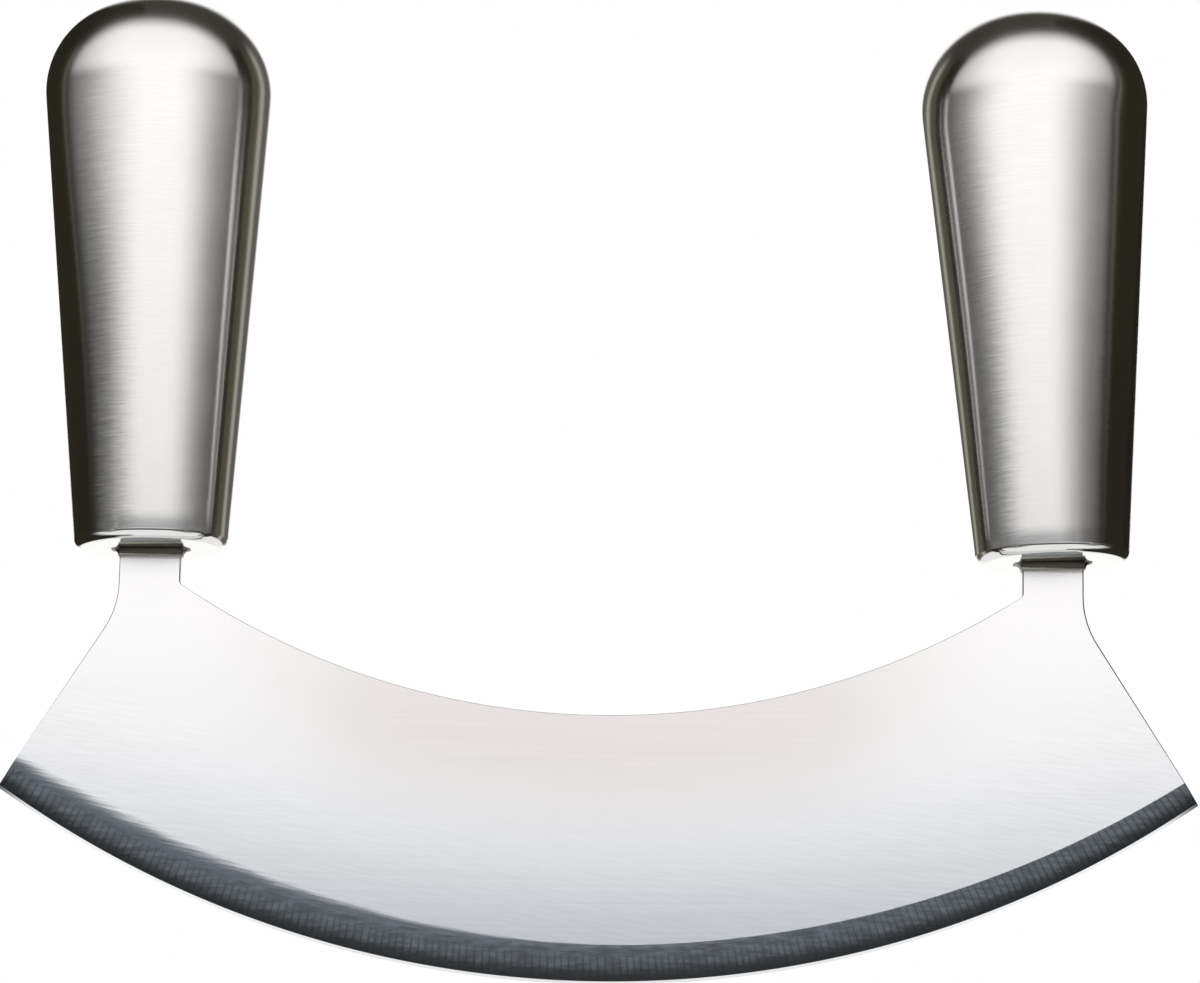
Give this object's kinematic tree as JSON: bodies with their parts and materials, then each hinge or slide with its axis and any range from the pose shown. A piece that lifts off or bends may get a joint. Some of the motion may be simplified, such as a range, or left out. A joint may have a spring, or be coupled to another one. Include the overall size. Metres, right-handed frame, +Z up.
{
  "type": "mezzaluna",
  "caption": "Single-blade mezzaluna: a crescent rocking blade ground on both sides, hung between two upright conical steel handles with domed ends.",
  "frame": {"origin": "lowest point of the cutting edge, midway between the handles and in the middle of the blade's thickness", "axes": "+X along the blade towards the right handle, +Y through the blade's thickness towards its back face, +Z up the handles"},
  "size_m": [0.2, 0.0386, 0.1673],
  "materials": {
    "blade_steel": "fine lengthwise satin on the flats, ground bevel, honed edge",
    "grip_steel": "satin, brushed round the handle",
    "base_steel": "polished steel",
    "bedding": "cast filling, out of sight"
  },
  "bodies": {
    "root": {"blade": "blade_steel", "left_base_disc": "base_steel", "right_base_disc": "base_steel", "left_grip_tube": "grip_steel", "right_grip_tube": "grip_steel", "left_dome_cap": "grip_steel", "right_dome_cap": "grip_steel", "left_tang_bedding": "bedding", "right_tang_bedding": "bedding"}
  },
  "joints": []
}
